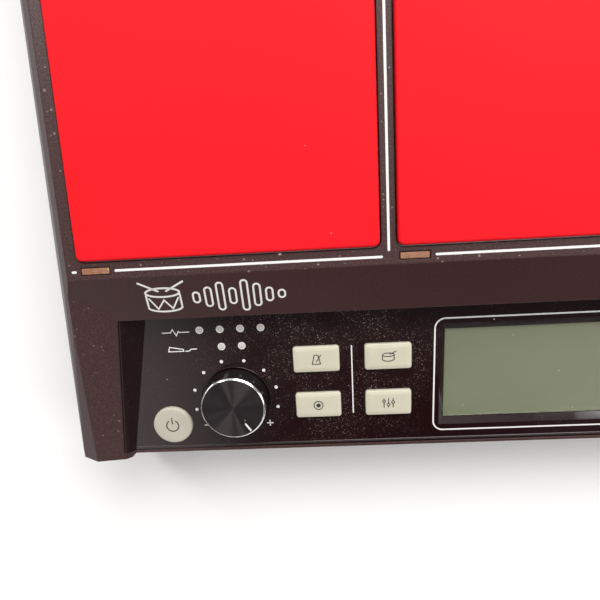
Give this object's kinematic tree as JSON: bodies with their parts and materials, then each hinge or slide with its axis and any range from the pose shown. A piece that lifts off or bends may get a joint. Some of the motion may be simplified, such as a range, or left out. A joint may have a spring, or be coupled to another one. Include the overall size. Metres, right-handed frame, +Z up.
{
  "type": "electronic drum pad",
  "caption": "Table-top electronic percussion pad: rubber playing pads on a flat deck, sunken gloss control panel with display, turning knobs and press buttons, sockets at the rear.",
  "frame": {"origin": "on the surface the instrument stands on, under the middle of the case", "axes": "+X to the player's right, +Y away from the player, +Z up"},
  "size_m": [0.3916, 0.34, 0.0636],
  "materials": {
    "case_plastic": "textured moulded, dark brown grey",
    "base_plastic": "textured moulded, near black",
    "panel_gloss": "polished black",
    "display_glass": "clear window",
    "display_body": "grey green display face",
    "pad_rubber": "smooth red rubber",
    "plate_steel": "stamped sheet",
    "sensor_brass": "disc",
    "foam": "closed cell foam",
    "chassis_steel": "galvanised sheet",
    "knob_metal": "spun and dyed, bright cut rim",
    "shaft_steel": "turned",
    "button_ivory": "satin ivory",
    "board_laminate": "solder mask",
    "socket_plastic": "moulded black",
    "light_amber": "translucent amber",
    "foot_rubber": "soft black",
    "screw_steel": "zinc plated"
  },
  "bodies": {
    "case": {"case_screw_1": "screw_steel", "case_screw_2": "screw_steel", "case_screw_3": "screw_steel", "case_screw_4": "screw_steel", "control_board": "board_laminate", "control_panel": "panel_gloss", "data_encoder": "shaft_steel", "display_module": "display_body", "display_window": "display_glass", "foam_sheet": "foam", "foot_1": "foot_rubber", "foot_2": "foot_rubber", "foot_3": "foot_rubber", "foot_4": "foot_rubber", "jack_board": "socket_plastic", "light_guide_front": "light_amber", "light_guide_middle": "light_amber", "light_guide_rear": "light_amber", "lower_case": "base_plastic", "main_board": "board_laminate", "pad_1": "pad_rubber", "pad_2": "pad_rubber", "pad_3": "pad_rubber", "pad_4": "pad_rubber", "pad_5": "pad_rubber", "pad_6": "pad_rubber", "pad_7": "pad_rubber", "pad_8": "pad_rubber", "pad_chassis": "chassis_steel", "pad_plate_1": "plate_steel", "pad_plate_2": "plate_steel", "pad_plate_3": "plate_steel", "pad_plate_4": "plate_steel", "pad_plate_5": "plate_steel", "pad_plate_6": "plate_steel", "pad_plate_7": "plate_steel", "pad_plate_8": "plate_steel", "pad_sensor_1": "sensor_brass", "pad_sensor_2": "sensor_brass", "pad_sensor_3": "sensor_brass", "pad_sensor_4": "sensor_brass", "pad_sensor_5": "sensor_brass", "pad_sensor_6": "sensor_brass", "pad_sensor_7": "sensor_brass", "pad_sensor_8": "sensor_brass", "upper_case": "case_plastic", "volume_pot": "shaft_steel"},
    "volume_knob": {"volume_knob": "knob_metal", "volume_shaft": "shaft_steel"},
    "data_dial": {"data_dial": "knob_metal", "data_shaft": "shaft_steel"},
    "power_button": {"power_button": "button_ivory"},
    "click_button": {"click_button": "button_ivory"},
    "record_button": {"record_button": "button_ivory"},
    "kit_button": {"kit_button": "button_ivory"},
    "setup_button": {"setup_button": "button_ivory"},
    "up_button": {"up_button": "button_ivory"},
    "down_button": {"down_button": "button_ivory"},
    "enter_button": {"enter_button": "button_ivory"},
    "exit_button": {"exit_button": "button_ivory"}
  },
  "joints": [
    {"name": "volume_turn", "type": "hinge", "parent": "case", "child": "volume_knob", "pos_m": [-0.1234, -0.14374, 0.04443], "axis": [0, -0.0918, 0.9958], "range_deg": [0, 294]},
    {"name": "data_turn", "type": "hinge", "parent": "case", "child": "data_dial", "pos_m": [0.1234, -0.14374, 0.04443], "axis": [0, -0.0918, 0.9958], "continuous": true},
    {"name": "power_press", "type": "slide", "parent": "case", "child": "power_button", "axis": [0, 0.0918, -0.9958], "range_m": [0, 0.0008], "stiffness_N_per_m": 900},
    {"name": "click_press", "type": "slide", "parent": "case", "child": "click_button", "axis": [0, 0.0918, -0.9958], "range_m": [0, 0.0008], "stiffness_N_per_m": 800},
    {"name": "record_press", "type": "slide", "parent": "case", "child": "record_button", "axis": [0, 0.0918, -0.9958], "range_m": [0, 0.0008], "stiffness_N_per_m": 800},
    {"name": "kit_press", "type": "slide", "parent": "case", "child": "kit_button", "axis": [0, 0.0918, -0.9958], "range_m": [0, 0.0008], "stiffness_N_per_m": 800},
    {"name": "setup_press", "type": "slide", "parent": "case", "child": "setup_button", "axis": [0, 0.0918, -0.9958], "range_m": [0, 0.0008], "stiffness_N_per_m": 800},
    {"name": "up_press", "type": "slide", "parent": "case", "child": "up_button", "axis": [0, 0.0918, -0.9958], "range_m": [0, 0.0008], "stiffness_N_per_m": 800},
    {"name": "down_press", "type": "slide", "parent": "case", "child": "down_button", "axis": [0, 0.0918, -0.9958], "range_m": [0, 0.0008], "stiffness_N_per_m": 800},
    {"name": "enter_press", "type": "slide", "parent": "case", "child": "enter_button", "axis": [0, 0.0918, -0.9958], "range_m": [0, 0.0008], "stiffness_N_per_m": 800},
    {"name": "exit_press", "type": "slide", "parent": "case", "child": "exit_button", "axis": [0, 0.0918, -0.9958], "range_m": [0, 0.0008], "stiffness_N_per_m": 800}
  ]
}
